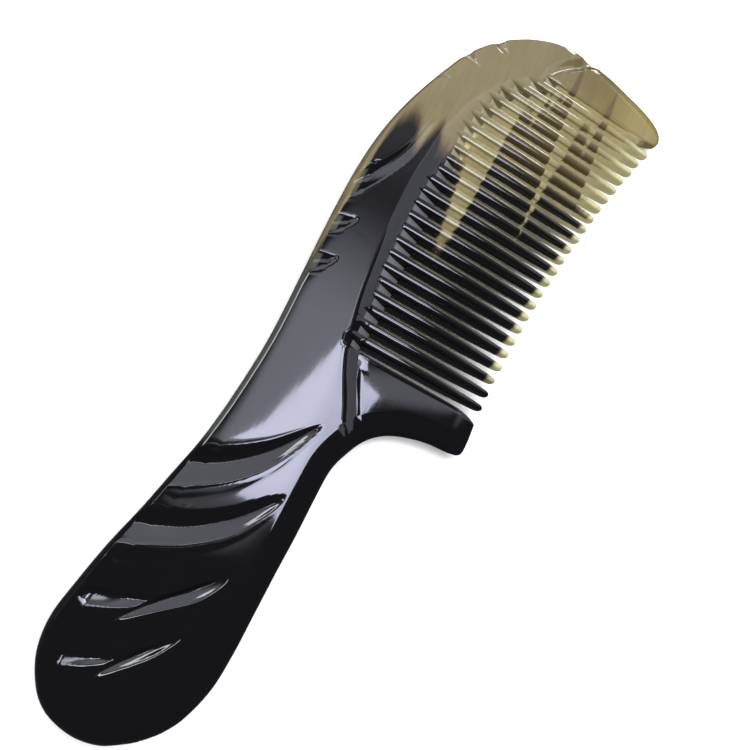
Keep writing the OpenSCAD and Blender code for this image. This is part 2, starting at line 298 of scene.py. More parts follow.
halfPlate = plate["thickness"] / 2
halfFar = plate["farThickness"] / 2
halfRoot = teeth["rootThickness"] / 2
halfTip = teeth["tipThickness"] / 2
slotWidth = teeth["slotWidth"]
pitch = (teeth["farWall"] - teeth["nearWall"] - slotWidth) / teeth["count"]
halfTooth = (pitch - slotWidth) / 2


def bladeHalf(x, y):
    top = lookup(sawCuts, x)
    down = softPositive(top - y, teeth["rootEasing"]) / (top - lookup(tipLine, x))
    down = np.clip(down, 0, 1)
    return halfRoot + (halfTip - halfRoot) * down


def ridgeRise(x, y):
    # From 0 on the blade to 1 on the back: crisp at the neck, soft towards the far end
    t = (y - softLookup(ridge, x)) / lookup(ridge, x, 2) + 0.5
    under = 1 - np.clip(t, 0, 3) ** stepShape["hollow"]
    crisp = np.clip(1 - softPositive(under, stepShape["crestEasing"]), 0, 1)
    groove = np.clip(t / stepShape["grooveOut"] + 1, 0, 1) * np.clip(1 - t / stepShape["grooveUp"], 0, 1)
    groove = groove * ease((stepShape["grooveEnds"] - x) / stepShape["grooveFade"])
    crisp = crisp - stepShape["grooveDepth"] * groove
    soft = ease((x - stepShape["softensFrom"]) / stepShape["softensOver"])
    return crisp + (ease(t) - crisp) * soft


def plainHalf(x, y):
    back = halfPlate + (halfFar - halfPlate) * ease((x - plate["thinsFrom"]) / plate["thinsOver"])
    blade = bladeHalf(x, y)
    return blade + (back - blade) * ridgeRise(x, y)


def roundRise(e):
    # Share of the thickness at share e of a plain rounding's width
    power = plate["edgePower"]
    return (1 - (1 - e) ** power) ** (1 / power)


def rimRise(e):
    # The back's rounding: steep up to a fine crease, then a slow slope
    crease = plate["rimWidth"] / plate["backEdgeWidth"]
    arc = plate["rimArc"]
    outer = np.sqrt((1 - (1 - arc * np.clip(e / crease, 0, 1)) ** 2) / (1 - (1 - arc) ** 2))
    slope = 1 - (1 - np.clip((e - crease) / (1 - crease), 0, 1)) ** 2
    return plate["rimRise"] * outer + (1 - plate["rimRise"]) * slope


def carved(path, x, y, crestRound):
    # Depth that one gouge takes at each point
    steps = samples["gouge"] * (len(path) - 1)
    rows = smoothAt(path, np.linspace(0, len(path) - 1, steps + 1))
    low, high = rows[:, :2].min(0) - carving["reach"], rows[:, :2].max(0) + carving["reach"]
    near = (x > low[0]) & (x < high[0]) & (y > low[1]) & (y < high[1])
    depth = np.zeros_like(x)
    if not near.any():
        return depth
    px, py = x[near][:, None], y[near][:, None]
    start, end = rows[:-1], rows[1:]
    run = end[:, :2] - start[:, :2]
    t = ((px - start[:, 0]) * run[:, 0] + (py - start[:, 1]) * run[:, 1]) / (run ** 2).sum(1)
    t = np.clip(t, 0, 1)
    gaps = np.hypot(px - start[:, 0] - t * run[:, 0], py - start[:, 1] - t * run[:, 1])
    pick = gaps.argmin(axis=1)
    one = np.arange(len(pick))
    here = start[pick] + (end[pick] - start[pick]) * t[one, pick][:, None]
    away = np.stack((px[:, 0] - here[:, 0], py[:, 0] - here[:, 1]), -1)
    ahead = (away * run[pick]).sum(1) / np.hypot(*run[pick].T)
    side = away[:, 0] * run[pick, 1] - away[:, 1] * run[pick, 0]
    atEnd = ((pick == 0) & (ahead < 0)) | ((pick == steps - 1) & (ahead > 0))
    stretch = np.where(atEnd, carving["endSteepness"], 1)
    gap = np.hypot(side / np.hypot(*run[pick].T), ahead * stretch)
    width = np.maximum(np.where(side < 0, here[:, 3], here[:, 2]), carving["leastWidth"])
    fromValley = np.sqrt(gap ** 2 + carving["valleyRound"] ** 2) - carving["valleyRound"]
    share = np.clip(softPositive(1 - fromValley / width, crestRound), 0, 1)
    depth[near] = share * np.maximum(here[:, 4], 0)
    return depth


def halfAt(x, y, rise):
    # Half of the thickness at each point, with the edge's rounding and the carving
    depth = np.zeros_like(x)
    for paths, crestRound in ((gouges, carving["gougeCrests"]), (leafLines, carving["leafCrests"])):
        for path in paths.values():
            depth = np.maximum(depth, carved(path, x, y, crestRound))
    full = plainHalf(x, y)
    return full * rise - np.minimum(depth, carving["deepest"] * full) * rise ** carving["edgeFade"]


# Body: lines of points across the comb, from the back edge to the other edge

# Points over an edge's rounding, as shares of its width
edgeShares = np.array([0, 0.025, 0.06, 0.1, 0.15, 0.2, 0.235, 0.264, 0.3, 0.38, 0.52, 0.75, 1.0])
rowCounts = [meshPlan[name] for name in ("backRows", "stepRows", "footRows", "guardRows")]
# The row that runs along the roots of the teeth
rootRow = len(edgeShares) + sum(rowCounts[:3]) - 1


def outlinePoint(points, place):
    at = smoothAt(points, place)
    for x, y, reach, depth in outlineDents:
        gap = np.hypot(at[0] - x, at[1] - y)
        lean = np.array((x + dentShape["leanX"], y + dentShape["leanY"])) - at
        at = at + lean / np.linalg.norm(lean) * depth * max(1 - gap / reach, 0) ** dentShape["power"]
    return at


def inward(points, place, turn, reach=0.05):
    # Unit vector across an outline into the comb. Turn is 1 along the back, -1 along the other side.
    run = smoothAt(points, place + reach) - smoothAt(points, place - reach)
    return np.array((run[1], -run[0])) * turn / np.linalg.norm(run)


def outlineSamples():
    # Points along the outline, each with its rounding's width and its share of the rim's profile
    ends = len(backEdge) - 1
    fade = plate["rimFade"]
    found = []
    for points, width, isBack in ((backEdge, plate["backEdgeWidth"], True),
                                  (nearEdge, plate["nearEdgeWidth"], False),
                                  (farEdge, plate["farEdgeWidth"], False)):
        for place in np.linspace(0, len(points) - 1, samples["outline"] * (len(points) - 1)):
            rim = float(ease(place / fade) * ease((ends - place) / fade)) if isBack else 0
            found.append((*outlinePoint(points, place), width, rim))
    return np.array(found)


def riseAt(points):
    # Share of the thickness that the edges' rounding leaves at each point
    outline = outlineSamples()
    tree = KDTree(len(outline))
    for i, (x, y) in enumerate(outline[:, :2]):
        tree.insert((x, y, 0), i)
    tree.balance()
    found = [tree.find((x, y, 0)) for x, y in points]
    gap = np.array([hit[2] for hit in found])
    own = outline[[hit[1] for hit in found]]
    e = np.clip(gap / own[:, 2], 0, 1)
    return roundRise(e) + (rimRise(e) - roundRise(e)) * own[:, 3]


def slotOf(i):
    # Middle, y of the root at mid-thickness, and y where the slope starts on the face
    x = teeth["nearWall"] + slotWidth / 2 + pitch * i
    root = float(lookup(sawCuts, x))
    run = teeth["cutRun"] * float(lookup(sawCuts, x, 2))
    return x, root, root + run + teeth["unevenCuts"] * math.sin(teeth["unevenTurn"] * i)


slots = [slotOf(i) for i in range(teeth["count"] + 1)]


def rootAt(x):
    # y of the line where the teeth leave the body: level across each slot
    walls = [(cx + side * slotWidth / 2, root) for cx, root, start in slots for side in (-1, 1)]
    return float(lookup(walls, x))


def rowPlaces(start, crest, foot, root, end):
    # Places of a line's rows of points, closer together at the crest and the foot of the step
    k = [np.arange(1, count + 1) / count for count in rowCounts]
    return np.concatenate((start + (crest - start) * (1 - (1 - k[0]) ** meshPlan["crestSpread"]),
                           crest + (foot - crest) * (0.5 - 0.5 * np.cos(np.pi * k[1])),
                           foot + (root - foot) * k[2] ** meshPlan["footSpread"],
                           root + (end - root) * k[3]))


def stepEdge(x, share):
    # y of the crest of the step, for share 0.5, or of its foot, for share -0.5
    return softLookup(ridge, x) + lookup(ridge, x, 2) * share


def crossing(a, b, share):
    # Share of the way from a to b where the line meets the step's edge, more than 1 if it ends above it
    line = a + (b - a) * np.linspace(0, 1, samples["acrossLine"])[:, None]
    gap = line[:, 1] - stepEdge(line[:, 0], share)
    under = np.flatnonzero(gap <= 0)
    if not len(under):
        return 1 + gap[-1] / meshPlan["crestPast"]
    i = max(under[0], 1)
    drop = max(gap[i - 1] - gap[i], 1e-6)
    return (i + gap[i] / drop) / (len(line) - 1)


def lineRows(a, b, likeTeeth):
    # Shares of the way from a to b of one line's rows
    crest = crossing(a, b, 0.5)
    first, last = meshPlan["crestLimits"]
    least, most = meshPlan["stepLimits"]
    near = 1 - ease((crest - last) / meshPlan["crestFade"])
    usual = rowCounts[0] / sum(rowCounts)
    crest = float(np.clip(crest, first, last)) * near + usual * (1 - near)
    foot = float(np.clip(crossing(a, b, -0.5), crest + least, crest + (1 - crest) * most))
    usual = crest + (1 - crest) * rowCounts[1] / sum(rowCounts[1:])
    foot = foot * near + usual * (1 - near)
    root = foot + (1 - foot) * rowCounts[2] / sum(rowCounts[2:])
    if likeTeeth > 0:
        toothRoot = (a[1] - rootAt(b[0])) / (a[1] - b[1])
        root += (max(toothRoot, foot + meshPlan["footLeast"]) - root) * likeTeeth
    return rowPlaces(0, crest, foot, root, 1)


def crossLine(backPlace, edge, edgePlace, edgeWidth, likeTeeth):
    # Points of one line from the back edge to the other edge
    back = outlinePoint(backEdge, backPlace)
    front = outlinePoint(edge, edgePlace)
    wide = meshPlan["edgeLimit"] * np.linalg.norm(front - back)
    backShares = (edgeShares * min(plate["backEdgeWidth"], wide))[:, None]
    frontShares = (edgeShares[::-1] * min(edgeWidth, wide))[:, None]
    first = back + inward(backEdge, backPlace, 1) * backShares
    last = front + inward(edge, edgePlace, -1, meshPlan["edgeReach"]) * frontShares
    a, b = first[-1], last[0]
    t = lineRows(a, b, likeTeeth)
    return np.concatenate((first, a + (b - a) * t[:, None], last[1:]))


def lineField(pairs, edge, edgeWidth, likeTeeth):
    # A block of points for one end of the comb
    pairs = np.asarray(pairs, float)
    fine = np.linspace(0, len(pairs) - 1, samples["lines"] * len(pairs))
    backPlaces = np.interp(fine, np.arange(len(pairs)), pairs[:, 0])
    edgePlaces = np.interp(fine, np.arange(len(pairs)), pairs[:, 1])
    runs = [np.linalg.norm(np.diff(smoothAt(points, places), axis=0), axis=1)
            for points, places in ((backEdge, backPlaces), (edge, edgePlaces))]
    total = np.concatenate(([0], np.cumsum(np.maximum(*runs))))
    even = np.linspace(0, total[-1], int(total[-1] / meshPlan["stationStep"]))
    places = zip(np.interp(even, total, backPlaces), np.interp(even, total, edgePlaces), even)
    return np.stack([crossLine(back, edge, front, edgeWidth, float(likeTeeth(at / total[-1])))
                     for back, front, at in places])


def ringShape():
    # Upper half of a tooth's cross-section at its root, from the left wall to the right one
    angle = np.pi * (1 - np.arange(teeth["ringSteps"] + 1) / teeth["ringSteps"])
    c, s = np.round(np.cos(angle), 9), np.round(np.sin(angle), 9)
    power = np.where(c < 0, 2 / teeth["leftSquareness"], 2 / teeth["rightSquareness"])
    return np.sign(c) * np.abs(c) ** power, s ** power


def toothColumns():
    # Each column of points between the guards: x, its share of the height, the saw cut beside it
    across, heights = ringShape()
    half = teeth["ringSteps"] // 2
    middles = [teeth["nearWall"] - halfTooth]
    middles += [slots[i][0] + pitch / 2 for i in range(teeth["count"])]
    middles += [teeth["farWall"] + halfTooth]
    columns = []
    for i, middle in enumerate(middles):
        for k in range(half if i == 0 else 0, half + 1 if i == len(middles) - 1 else 2 * half + 1):
            beside = i - 1 if k < half or i == len(middles) - 1 else i
            columns.append((middle + across[k] * halfTooth, heights[k], beside))
    return columns


def toothedField(columns):
    # The block of points between the two ends. Past a saw cut's root only a guard goes on.
    gap = meshPlan["seamGap"]
    places = np.linspace(nearPairs[-1][0] + gap, farPairs[0][0] - gap, samples["besideTeeth"])
    ends = smoothAt(backEdge, places)[:, 0]
    reach = (ends - ends[0]) / (ends[-1] - ends[0]) * (len(columns) - 1)
    lines = []
    for c, (x, height, beside) in enumerate(columns):
        place = float(np.interp(c, reach, places))
        edge = outlinePoint(backEdge, place)
        first = edge + inward(backEdge, place, 1) * (edgeShares * plate["backEdgeWidth"])[:, None]
        width = plate["nearEdgeWidth" if x < 0 else "farEdgeWidth"]
        tips = float(lookup(nearEdge[-2:] if x < 0 else farEdge[:3], x))
        top, begin = first[-1, 1], slots[beside][2] + meshPlan["leanAbove"]
        root = rootAt(x)
        leaning = x
        for again in range(meshPlan["leanRounds"]):
            foot = max(stepEdge(leaning, -0.5), root + meshPlan["leastFoot"])
            crest = max(stepEdge(leaning, 0.5), foot + meshPlan["leastStep"])
            y = rowPlaces(top, crest, foot, root, tips + width)
            lean = np.clip((y - begin) / (top - begin), 0, 1)
            leaning = x + (first[-1, 0] - x) * lean[meshPlan["backRows"]]
        middle = np.stack((x + (first[-1, 0] - x) * lean, y), -1)
        last = np.stack((np.full(len(edgeShares) - 1, x), tips + edgeShares[-2::-1] * width), -1)
        lines.append(np.concatenate((first, middle, last)))
    return np.stack(lines)


def sawCut(points, half, columns):
    # Lowers the columns of points beside each saw cut to its sloping floor
    for c, (x, height, beside) in enumerate(columns):
        cx, root, start = slots[beside]
        startHalf = float(halfAt(np.array([cx]), np.array([start]), 1.0)[0])
        level = np.clip((points[c, :, 1] - root) / (start - root), 0, 1)
        floor = np.where(level < 1 - 1e-6, startHalf * level, halfPlate * 2)
        half[c] = np.minimum(half[c], np.maximum(half[c] * height, floor))
        half[c, rootRow] = halfRoot * height


def roundCorners(points):
    # The guards' corners at the tips are worn round
    corners = ((teeth["nearWall"], -1, nearEdge[-1][1]), (teeth["farWall"], 1, farEdge[0][1]))
    for wall, turn, tips in corners:
        beside = np.clip(1 - (points[:, 0] - wall) * turn / guards["cornerReach"], 0, 1) ** 2
        beside[(points[:, 0] - wall) * turn < -1e-3] = 0
        low = np.clip((tips + guards["cornerHeight"] - points[:, 1]) / guards["cornerHeight"], 0, 1)
        points[:, 0] += turn * guards["cornerPull"] * low ** guards["cornerPower"] * beside


def matched(field, line, reach):
    # Moves the first lines of a block so that it starts from the given line
    fade = ease(1 - np.arange(len(field)) / reach)[:, None, None]
    return (field + (line - field[0]) * fade)[1:]


def bodyMesh():
    begin, over = meshPlan["nearLikeTeeth"]
    near = lineField(nearPairs, nearEdge, plate["nearEdgeWidth"], lambda t: ease((t - begin) / over))
    reach = meshPlan["farLikeTeeth"]
    far = lineField(farPairs, farEdge, plate["farEdgeWidth"], lambda t: ease(1 - t / reach))
    columns = toothColumns()
    toothed = toothedField(columns)
    near = matched(near[::-1], toothed[0], meshPlan["nearMatch"])[::-1]
    far = matched(far, toothed[-1], meshPlan["farMatch"])
    blocks = np.concatenate((near, toothed, far))
    flat = blocks.reshape(-1, 2)
    half = halfAt(flat[:, 0], flat[:, 1], riseAt(flat)).reshape(blocks.shape[:2])
    start, end = len(near), len(near) + len(toothed)
    sawCut(toothed, half[start:end], columns)
    for border in (half[:, 0], half[:, -1], half[0], half[-1]):
        border[:] = 0
    points = np.concatenate((flat, half.reshape(-1, 1)), -1)
    roundCorners(points)
    index = np.arange(len(points)).reshape(blocks.shape[:2])
    guardSide = teeth["ringSteps"] // 2 + 1
    nearLast, farFirst = start + guardSide - 1, end - guardSide
    # Between the guards the body's own faces end at the roots
    strips = (index[:nearLast + 1], index[nearLast:farFirst + 1, :rootRow + 1], index[farFirst:])
    quads = np.concatenate([np.stack((i[:-1, :-1], i[:-1, 1:], i[1:, 1:], i[1:, :-1]), -1).reshape(-1, 4)
                            for i in strips])
    used, quads = np.unique(quads, return_inverse=True)
    points, quads = points[used], quads.reshape(-1, 4)
    lower = points * (1, 1, -1)
    return np.concatenate((points, lower)), np.concatenate((quads, quads[:, ::-1] + len(points)))


# Node trees

def feed(tree, socket, value):
    if isinstance(value, Link):
        tree.links.new(value.socket, socket)
    else:
        socket.default_value = value


def sumOf(operation, turned=False):
    # A method of Link that adds a node for one operation. Turned, the other value comes first.
    def made(self, other):
        return self.math(operation, other, self) if turned else self.math(operation, self, other)
    return made


class Link:
    # A socket of a node tree that can be used in sums

    def __init__(self, tree, socket=None):
        self.tree = tree
        self.socket = socket

    def node(self, kind, settings, inputs, output=0):
        made = self.tree.nodes.new(kind)
        for name, value in settings.items():
            setattr(made, name, value)
        for name, value in inputs.items():
            feed(self.tree, made.inputs[name], value)
        return Link(self.tree, made.outputs[output])

    def math(self, operation, *values):
        return self.node("ShaderNodeMath", {"operation": operation}, dict(enumerate(values)))

    __add__ = sumOf("ADD")
    __sub__ = sumOf("SUBTRACT")
    __mul__ = sumOf("MULTIPLY")
    __truediv__ = sumOf("DIVIDE")
    __pow__ = sumOf("POWER")
    __radd__ = sumOf("ADD", True)
    __rsub__ = sumOf("SUBTRACT", True)
    __rmul__ = sumOf("MULTIPLY", True)
    __rtruediv__ = sumOf("DIVIDE", True)
    most = sumOf("MAXIMUM")
    least = sumOf("MINIMUM")

    def __neg__(self):
        return self * -1.0

    def ramp(self, start, end):
        # 0 before start, 1 after end, smooth between
        return self.node("ShaderNodeMapRange", {"interpolation_type": "SMOOTHSTEP"},
                         {"Value": self, "From Min": start, "From Max": end})

    def within(self, start, end, soft, endSoft=None):
        # 1 between start and end, 0 outside, with eased borders
        endSoft = endSoft or soft
        return self.ramp(start - soft, start + soft) * (1 - self.ramp(end - endSoft, end + endSoft))

    def parts(self):
        # The three parts of a vector
        return [self.node("ShaderNodeSeparateXYZ", {}, {0: self}, i) for i in range(3)]

    def vector(self, *parts):
        return self.node("ShaderNodeCombineXYZ", {}, dict(enumerate(parts)))

    def size(self):
        return self.math("ABSOLUTE", self)

    def mix(self, a, b):
        # From colour a to colour b as this goes from 0 to 1
        return self.node("ShaderNodeMix", {"data_type": "RGBA"}, {0: self, 6: a, 7: b}, 2)

    def curve(self, points, span=None):
        # Value of a table of points at this place. The curve covers span, or else the table's own reach.
        low, high = span or (points[0][0], points[-1][0])
        made = self.tree.nodes.new("ShaderNodeFloatCurve")
        line = made.mapping.curves[0]
        wide = high - low
        top = max(y for x, y in points)
        line.points[0].location = (0, points[0][1] / top)
        line.points[1].location = (1, points[-1][1] / top)
        for x, y in points:
            line.points.new((x - low) / wide, y / top)
        for point in line.points:
            point.handle_type = "VECTOR"
        made.mapping.update()
        feed(self.tree, made.inputs["Value"], (self - low) / wide)
        return Link(self.tree, made.outputs[0]) * top


# Teeth, by Geometry Nodes: one grid of points for each tooth, wrapped round its length

def toothRoots():
    # A mesh of one point for each tooth, with what differs between them
    mesh = bpy.data.meshes.new("toothRoots")
    mesh.vertices.add(teeth["count"])
    rows = []
    uneven = random.Random(teeth["seed"])
    for i in range(teeth["count"]):
        middle = slots[i][0] + pitch / 2
        tip = float(lookup(tipLine, middle)) + uneven.uniform(-1, 1) * teeth["unevenTips"]
        rows.append((middle, slots[i][1], slots[i + 1][1], tip))
    for name, values in zip(("middle", "rootLeft", "rootRight", "tip"), zip(*rows)):
        mesh.attributes.new(name, "FLOAT", "POINT").data.foreach_set("value", values)
    return placed("teeth", mesh)


def readValue(start, name):
    return start.node("GeometryNodeInputNamedAttribute", {"data_type": "FLOAT"}, {"Name": name})


# A sine or cosine nearer to 0 than this counts as 0
tiny = 0.00001


def signedPower(value, power):
    return value.math("SIGN", value) * (value.size() - tiny).most(0.0) ** power


# The inputs of the teeth's node group
toothSizes = {
    "Half width": halfTooth,
    "Half thickness at the root": halfRoot,
    "Half thickness at the tip": halfTip,
    "Length of the taper": teeth["taperLength"],
    "Narrowing at the tip": teeth["tipNarrowing"],
    "Length of the rounded tip": teeth["capLength"],
}


def toothTree():
    tree = bpy.data.node_groups.new("toothShape", "GeometryNodeTree")
    tree.interface.new_socket("Geometry", in_out="INPUT", socket_type="NodeSocketGeometry")
    for name in toothSizes:
        tree.interface.new_socket(name, in_out="INPUT", socket_type="NodeSocketFloat")
    tree.interface.new_socket("Material", in_out="INPUT", socket_type="NodeSocketMaterial")
    tree.interface.new_socket("Geometry", in_out="OUTPUT", socket_type="NodeSocketGeometry")
    source = tree.nodes.new("NodeGroupInput")
    start = Link(tree)
    given = {socket.name: Link(tree, socket) for socket in source.outputs}
    around, along = 2 * teeth["ringSteps"], teeth["lengthSteps"]
    grid = start.node("GeometryNodeMeshGrid", {}, {"Size X": 1.0, "Size Y": 1.0,
                                                   "Vertices X": around + 1, "Vertices Y": along + 1})
    place = start.node("GeometryNodeInputPosition", {}, {})
    for name, value in zip(("around", "along"), place.parts()):
        grid = start.node("GeometryNodeStoreNamedAttribute", {"data_type": "FLOAT", "domain": "POINT"},
                          {"Geometry": grid, "Name": name, "Value": value + 0.5})
    many = start.node("GeometryNodeInstanceOnPoints", {},
                      {"Points": given["Geometry"], "Instance": grid})
    real = start.node("GeometryNodeRealizeInstances", {}, {"Geometry": many})

    # The grid's one side runs round the tooth and its other side from the root to the tip
    angle = math.pi * (1 - 2 * readValue(start, "around"))
    run = readValue(start, "along")
    bodyShare = 1 - teeth["capShare"]
    body = (run / bodyShare).least(1.0)
    cap = ((run - bodyShare) / teeth["capShare"]).most(0.0) * (math.pi / 2)
    cosine = start.math("COSINE", angle)
    isLeft = cosine.math("LESS_THAN", cosine, -tiny)
    atRoot = teeth["rightSquareness"] + (teeth["leftSquareness"] - teeth["rightSquareness"]) * isLeft
    squareness = atRoot + (teeth["tipSquareness"] - atRoot) * body
    across = signedPower(cosine, 2 / squareness)
    upward = signedPower(start.math("SINE", angle), 2 / squareness)
    left = readValue(start, "rootLeft")
    rootY = left + (readValue(start, "rootRight") - left) * (across + 1) * 0.5
    tipY = readValue(start, "tip")
    capLength = given["Length of the rounded tip"]
    y = rootY + (tipY + capLength - rootY) * body - capLength * start.math("SINE", cap)
    shrink = start.math("COSINE", cap).most(0.0) ** teeth["capPower"]
    taper = ((tipY - y) / given["Length of the taper"] + 1).most(0.0).least(1.0)
    narrower = given["Narrowing at the tip"] * taper ** teeth["taperPower"]
    halfWidth = (given["Half width"] - narrower) * shrink
    rootHalf = given["Half thickness at the root"]
    thin = body ** teeth["thinning"]
    halfThick = (rootHalf + (given["Half thickness at the tip"] - rootHalf) * thin) * shrink
    x = readValue(start, "middle") + across * halfWidth
    moved = start.vector(x, y, upward * halfThick)
    shaped = start.node("GeometryNodeSetPosition", {}, {"Geometry": real, "Position": moved})
    welded = start.node("GeometryNodeMergeByDistance", {},
                        {"Geometry": shaped, "Distance": teeth["weld"]})
    done = start.node("GeometryNodeSetMaterial", {},
                      {"Geometry": welded, "Material": given["Material"]})
    target = tree.nodes.new("NodeGroupOutput")
    tree.links.new(done.socket, target.inputs[0])
    return tree


def teethMesh(material):
    holder = toothRoots()
    tree = toothTree()
    values = {**toothSizes, "Material": material}
    modifier = holder.modifiers.new("shape", "NODES")
    modifier.node_group = tree
    for item in tree.interface.items_tree:
        if item.in_out == "INPUT" and item.name in values:
            modifier[item.identifier] = values[item.name]
    seen = holder.evaluated_get(bpy.context.evaluated_depsgraph_get())
    mesh = bpy.data.meshes.new_from_object(seen)
    bpy.data.objects.remove(holder)
    points = np.empty(3 * len(mesh.vertices))
    mesh.vertices.foreach_get("co", points)
    faces = [tuple(polygon.vertices) for polygon in mesh.polygons]
    return points.reshape(-1, 3), faces


# Horn. Its colours are laid out by u along the comb and v across it, in millimetres.

horn = {
    "black": (0.0028, 0.0028, 0.0031),
    "darkBrown": (0.046, 0.034, 0.015),
    "brown": (0.080, 0.057, 0.027),
    "olive": (0.134, 0.112, 0.055),
    "toothOlive": (0.190, 0.168, 0.082),
    "guardBrown": (0.108, 0.082, 0.028),
    "guardYellow": (0.160, 0.130, 0.036),
    "tip": (0.400, 0.375, 0.200),
    # painted light on the slot walls: a pale olive far brighter than the horn, standing in for light
    # through the translucent horn, and a grey painted reflection where the horn is black
    "wall": (0.600, 0.540, 0.310),
    "paintedWallReflection": (0.270, 0.265, 0.240),
    "rim": (0.055, 0.055, 0.045),
    # painted highlight along the fine crease, standing in for its reflection
    "creaseHighlight": (0.300, 0.310, 0.310),
    "sawn": (0.085, 0.085, 0.088),
    "sawnPale": (0.230, 0.215, 0.140),
    "ior": 1.55,
    "grain": 4.0,            # how far the grain moves the end of the black part
    "wander": 2.0,           # the same for a coarser noise
    "wanderAcross": 0.6,     # how far that noise bends the zones across the comb
    "soften": 0.35,          # distance across over which the black's end is averaged
    "underGrain": 0.5,       # how far the grain moves the height where the black turns olive
    "shoulderGlowFirst": 0.22,   # how pale the teeth's right shoulders are painted at the handle, a painted glow of light through the thin horn
    "shoulderGlowMore": 0.7,     # and how much paler towards the far end
    "clouds": 0.35,
    "thinWalls": 0.3,        # how much nearer to a tooth's middle the painted light on its wall comes at the tip
    "creaseHighlightStrength": 0.8,
    "roughness": 0.045,
    "roughnessSpread": 0.05,
    "leastRoughness": 0.03,
    "sawnRoughness": 0.45,
    "longWaves": 0.003,      # heights of the surface's waves, as shares of the bump's distance
    "shortWaves": 0.004,
    "bumpDistance": 0.001,
}
# Noises: size along u, size across, detail, seed
noises = {
    "grain": (9.0, 0.9, 4.0, 0.0),
    "wander": (3.0, 3.0, 3.0, 7.0),
    "clouds": (14.0, 5.0, 2.0, 3.0),
    "finePolish": (0.6, 0.6, 3.0, 11.0),
    "widePolish": (6.0, 6.0, 2.0, 5.0),
    "longWaves": (30.0, 2.6, 2.0, 2.0),
    "shortWaves": (8.0, 6.0, 1.0, 9.0),
}
# Where one look turns into the next: start and end, in millimetres
zones = {
    # in u
    "teethStart": (3.0, 5.0), "teethEnd": (91.3, 91.7), "underStart": (2.0, 12.0),
    "shoulderGlowGrows": (15.0, 60.0), "tipsStart": (10.0, 16.0), "blackThins": (58.0, 72.0),
    "brownThins": (66.0, 93.0), "wallsPale": (50.0, 68.0), "guardStart": (86.0, 96.0),
    "rimStart": (-29.0, -24.0),
    # in v
    "guardAcross": (5.0, 30.0), "guardYellows": (26.0, 38.0), "rimAcross": (-16.4, -15.8),
    "cutsAcross": (-9.2, -8.8),
    # in height over mid-thickness, and below the height where the black turns olive
    "rimHeight": (3.2, 3.4), "cutTop": (1.9, 2.1), "cutFloor": (0.0, 0.1), "under": (-0.15, 0.45),
    # past the roots of the teeth, and before their tips
    "rootLine": (-0.3, 0.3), "rootBlend": (-2.5, 3.5), "cutEnd": (0.1, 0.5),
    "tip": (1.0, 2.2), "tipPales": (0.5, 9.0), "tipThins": (0.0, 11.0),
    # past where the black ends
    "pale": (0.0, 5.0), "brown": (-3.0, 2.5), "wallTurns": (-4.0, 2.0), "sawnPales": (-6.0, 3.0),
    # from a tooth's middle
    "shoulderGlow": (0.3, 0.85), "wall": (0.82, 0.89), "cutSide": (0.92, 0.98),
}
# The sheet that u and v are measured on, level with the comb's face as the camera sees it
sheet = {"x": 63.72, "y": 32.09, "scale": 1.0165, "u": 54.62, "v": 23.59}
# The painted highlight line along the fine crease, a lighter colour that stands in for the crease's
# reflection: the stretch of x that it follows, one sample in how many is kept, the span of u that its
# curve covers, then start, end and softness across and along
crease = {"from": -44.0, "to": 14.0, "every": 40, "span": (-60, 60),
          "across": (-0.1, 0.1, 0.08), "along": (-28.5, 13.0, 0.6)}
# u between which there are saw cuts, and the softness of both ends
cutReach = (3.0, 91.0, 0.3)
# v, u where the black ends: first over the back, then over the teeth
blackEnds = [(-30, 13), (-17.6, 13), (-17.1, 22), (-16.9, 38), (-16.4, 48), (-15.5, 55), (-14.5, 57.5),
             (-13.5, 59.5), (-12.3, 60.5), (-11.3, 60), (-10.3, 57.5), (-9.6, 54.5), (-9.0, 52),
             (-8.3, 52.5), (-7.5, 55.5), (-6.8, 59), (-6.2, 61.5), (-5.6, 61), (-4.8, 58.5), (-4, 56),
             (-3, 56), (0, 58), (3.0, 56), (4.4, 40), (5.6, 32), (7.4, 36), (8.2, 44), (9.0, 62),
             (9.9, 77), (13, 78), (14.1, 71), (14.8, 92), (15.5, 82), (16.2, 77), (16.8, 86),
             (18.3, 87), (18.8, 78), (19.3, 99), (20.3, 101), (20.9, 88), (21.4, 46), (22.2, 46),
             (22.9, 64), (24.5, 69), (25.0, 82), (26.2, 84), (27.6, 82), (28.6, 72), (29.6, 86),
             (30.1, 99), (30.9, 100), (31.4, 84), (31.8, 64), (34, 62), (50, 60)]
# u, height over mid-thickness below which the black turns olive
blackDepths = [(-95, -4), (2, -4), (6, -1.6), (20, -1.1), (30, -0.7), (45, 0.0), (58, 0.6), (66, 0.75),
               (78, 0.9), (88, 1.3), (105, 1.4)]
# u, v of the roots
rootPlaces = [(-20, 1.1), (64, 1.1), (71.5, 3.7), (78.5, 5.7), (82.1, 8.3), (85.7, 12.5), (89.2, 15.5),
              (105, 15.5)]
# u, v of the tips
tipPlaces = [(-20, 29.6), (8, 29.6), (18, 30.3), (28, 31.3), (38, 32.6), (48, 34.3), (58, 36.4),
             (68, 38.7), (76, 40.8), (84, 43.3), (89, 45), (105, 49)]


def shade(name):
    return (*horn[name], 1.0)


def onSheet(x, y):
    # u and v of a place on the comb, given from its middle
    return (x + sheet["x"]) * sheet["scale"] - sheet["u"], (sheet["y"] - y) * sheet["scale"] - sheet["v"]


def zone(value, name):
    return value.ramp(*zones[name])


def creaseLine(middle):
    # u, v along the fine crease beside the back edge
    edge = smoothAt(backEdge, np.linspace(0, len(backEdge) - 1, samples["crease"]))
    along = edge[(edge[:, 0] > crease["from"]) & (edge[:, 0] < crease["to"])][::crease["every"]]
    return [onSheet(x - middle[0], y - plate["rimWidth"] - middle[1]) for x, y in along.tolist()]


